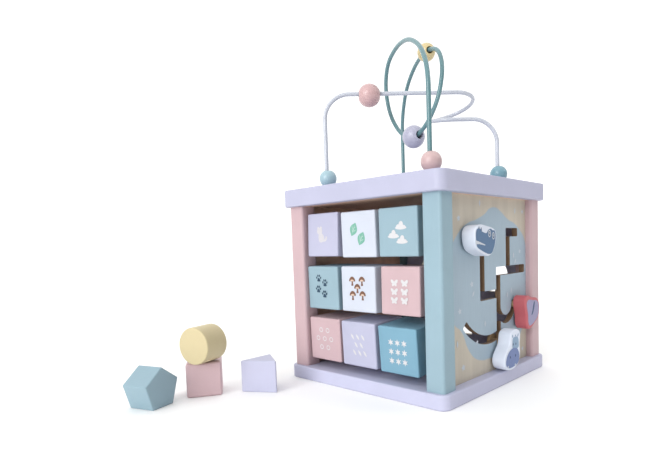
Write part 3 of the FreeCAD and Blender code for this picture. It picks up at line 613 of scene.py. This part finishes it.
def print_figures():
    """The faces on the maze figures, as (towards +Y, up) in millimetres on the figures' front plane."""
    blue = ink("crocodile_blue", tint(98, 134, 174))
    navy = ink("figure_navy", tint(62, 92, 134))
    pale = ink("figure_pale", tint(236, 242, 250))
    sky = ink("hippo_sky", tint(166, 196, 226))
    violet = ink("hippo_violet", tint(134, 154, 208))
    lilac = ink("bird_lilac", tint(178, 174, 212))
    face = panel_face(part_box("crocodile")[1][0])

    head = smooth([(-55.6, 156.2), (-50.5, 156.8), (-46.0, 154.2), (-38.6, 152.8), (-35.0, 155.6),
                   (-30.2, 156.8), (-26.6, 155.4), (-22.4, 155.0), (-20.8, 151.0), (-21.6, 144.5),
                   (-24.6, 138.4), (-29.0, 134.0), (-35.5, 133.6), (-45.0, 136.2), (-54.5, 139.8),
                   (-56.8, 144.0), (-57.4, 151.0)])
    mouth = [[(-58.2, 146.6), (-52.0, 145.2), (-40.6, 142.2), (-41.0, 141.5), (-52.0, 143.0), (-58.2, 142.6)]]
    spikes = [[[(-53.4, 156.0), (-51.6, 159.2), (-50.2, 156.0)]],
              [[(-49.6, 155.8), (-47.6, 158.4), (-46.4, 154.6)]]]
    eyes = ((-32.6, 152.4), (-25.2, 150.2))
    print_shapes("print_crocodile", BODY_OF["crocodile"], face, [
        (navy, spikes),
        (blue, [head]),
        (pale, [mouth] + [ellipse(x, y, 2.5, 3.4) for x, y in eyes]),
        (navy, [ellipse(x, y, 1.6, 2.4) for x, y in eyes]),
        (pale, [ellipse(x + 0.2, y + 0.3, 0.7, 1.3) for x, y in eyes]),
    ])

    head = smooth([(12.4, 36.0), (11.8, 42.0), (13.4, 46.4), (19.0, 47.6), (24.6, 45.8), (26.0, 41.0),
                   (25.6, 36.0), (19.0, 34.0)])
    ears = [leaf(12.6, 48.6, 4.4, 2.2, 110), leaf(24.4, 48.2, 4.4, 2.2, 60), leaf(18.8, 48.6, 2.6, 1.8, 90)]
    muzzle = smooth([(6.5, 35.0), (14.0, 36.6), (22.0, 34.8), (26.6, 29.0), (26.2, 23.0), (22.0, 19.0),
                     (15.0, 17.6), (6.0, 17.4), (-0.6, 19.6), (-2.6, 24.5), (0.6, 30.8)])
    print_shapes("print_hippo", BODY_OF["hippo"], face, [
        (sky, [head] + ears),
        (navy, [ellipse(13.4, 40.4, 0.9, 1.3), ellipse(19.4, 40.0, 0.9, 1.3)]),
        (violet, [muzzle]),
        (navy, [ellipse(6.6, 28.4, 1.0, 1.5, 20), ellipse(18.2, 28.2, 1.0, 1.5, -20)]),
        (pale, [ellipse(1.6, 19.4, 1.3, 1.1), ellipse(17.4, 18.8, 1.3, 1.2)]),
    ])

    body = smooth([(46.2, 78.2), (49.6, 81.6), (56.0, 81.4), (63.0, 80.2), (70.5, 79.4), (75.2, 75.4),
                   (76.0, 68.6), (73.2, 61.6), (66.4, 57.4), (59.0, 54.6), (52.4, 54.2), (49.6, 58.4),
                   (49.2, 65.0), (47.4, 72.0)])
    stroke = smooth([(64.6, 79.0), (65.8, 77.4), (64.0, 71.0), (60.0, 65.4), (57.4, 65.2), (60.0, 70.0),
                     (62.0, 75.6)])
    print_shapes("print_bird", BODY_OF["bird"], face, [(lilac, [body]), (navy, [stroke])])


# ---------------------------------------------------------------- room, lights and camera
FLOOR_HALF = 60.0
DIM_SURROUND = 0.24
# Bright parts of the surround: direction, the cosines to it where each begins and is whole, and strength.
GLOWS = (((-0.68, 0.73, 0.0), 0.0, 0.7, 1.3), ((0.0, 0.0, 1.0), 0.3, 0.75, 1.25))
# Suns: name, where each stands (degrees round from +X, degrees up), angular size in degrees and power.
SUNS = (("key_light", -88.0, 15.0, 40.0, 2.3), ("side_light", 40.0, 34.0, 14.0, 0.2))


def build_room():
    """A large pale floor, a surround that is white overhead and at the back left and dimmer elsewhere, a soft
    key light from the front and a weak side light from the back right."""
    surface = Surface("floor_paper", 0.8)
    tone = surface.spread(surface.noise(3, detail=3.0), 0.3, 0.7)
    paper = surface.mix(tone, (0.95, 0.95, 0.945, 1.0), (0.97, 0.97, 0.97, 1.0))
    surface.use(paper, surface.spread(surface.noise(200), 0.3, 0.7, 0.75, 0.85))
    mesh = bpy.data.meshes.new("floor")
    corners = [(x * FLOOR_HALF, y * FLOOR_HALF, 0) for x, y in ((-1, -1), (1, -1), (1, 1), (-1, 1))]
    mesh.from_pydata(corners, [], [(0, 1, 2, 3)])
    mesh.materials.append(surface.material)
    floor = bpy.data.objects.new("floor", mesh)
    bpy.context.scene.collection.objects.link(floor)

    world = bpy.data.worlds.new("white_surround")
    world.use_nodes = True
    tree = world.node_tree
    background = next(node for node in tree.nodes if node.type == "BACKGROUND")
    background.inputs["Color"].default_value = (1.0, 1.0, 1.0, 1.0)
    direction = tree.nodes.new("ShaderNodeTexCoord").outputs["Generated"]
    glows = []
    for towards, low, high, brightest in GLOWS:
        along = tree.nodes.new("ShaderNodeVectorMath")
        along.operation = "DOT_PRODUCT"
        along.inputs[1].default_value = towards
        tree.links.new(direction, along.inputs[0])
        glow = tree.nodes.new("ShaderNodeMapRange")
        for name, value in (("From Min", low), ("From Max", high),
                            ("To Min", DIM_SURROUND), ("To Max", brightest)):
            glow.inputs[name].default_value = value
        tree.links.new(along.outputs["Value"], glow.inputs["Value"])
        glows.append(glow.outputs[0])
    brighter = tree.nodes.new("ShaderNodeMath")
    brighter.operation = "MAXIMUM"
    for socket, glow in zip(brighter.inputs, glows):
        tree.links.new(glow, socket)
    tree.links.new(brighter.outputs[0], background.inputs["Strength"])
    bpy.context.scene.world = world

    for name, turn, height, spread, power in SUNS:
        lamp = bpy.data.lights.new(name, "SUN")
        lamp.angle = math.radians(spread)
        lamp.energy = power
        light = bpy.data.objects.new(name, lamp)
        turn, height = math.radians(turn), math.radians(height)
        towards = Vector((math.cos(turn) * math.cos(height), math.sin(turn) * math.cos(height),
                          math.sin(height)))
        light.rotation_euler = (-towards).to_track_quat("-Z", "Y").to_euler()
        bpy.context.scene.collection.objects.link(light)


CAMERA_PLACE = Vector((334.9, -455.7, 145.8)) * MM
CAMERA_YAW = math.radians(-42.92)
CAMERA_PITCH = math.radians(-3.96)
CAMERA_ROLL = math.radians(-1.81)
CAMERA_LENS = 27.26
CAMERA_SHIFT = (-0.0463, 0.0763)


def build_camera():
    """Looks from the front right corner, a little above the middle of the box."""
    forward = Vector((math.sin(CAMERA_YAW) * math.cos(CAMERA_PITCH),
                      math.cos(CAMERA_YAW) * math.cos(CAMERA_PITCH), math.sin(CAMERA_PITCH)))
    level = Vector((math.cos(CAMERA_YAW), -math.sin(CAMERA_YAW), 0))
    upward = level.cross(forward)
    right = level * math.cos(CAMERA_ROLL) + upward * math.sin(CAMERA_ROLL)
    up = upward * math.cos(CAMERA_ROLL) - level * math.sin(CAMERA_ROLL)
    data = bpy.data.cameras.new("camera")
    data.lens = CAMERA_LENS
    data.shift_x, data.shift_y = CAMERA_SHIFT
    data.clip_start, data.clip_end = 0.01, 100.0
    camera = bpy.data.objects.new("camera", data)
    turned = Matrix((right, up, -forward)).transposed().to_4x4()
    camera.matrix_world = Matrix.Translation(CAMERA_PLACE) @ turned
    bpy.context.scene.collection.objects.link(camera)
    bpy.context.scene.camera = camera
    bpy.context.scene.view_settings.view_transform = "Standard"


dress_all()
print_cubes()
print_maze()
print_figures()
build_room()
build_camera()
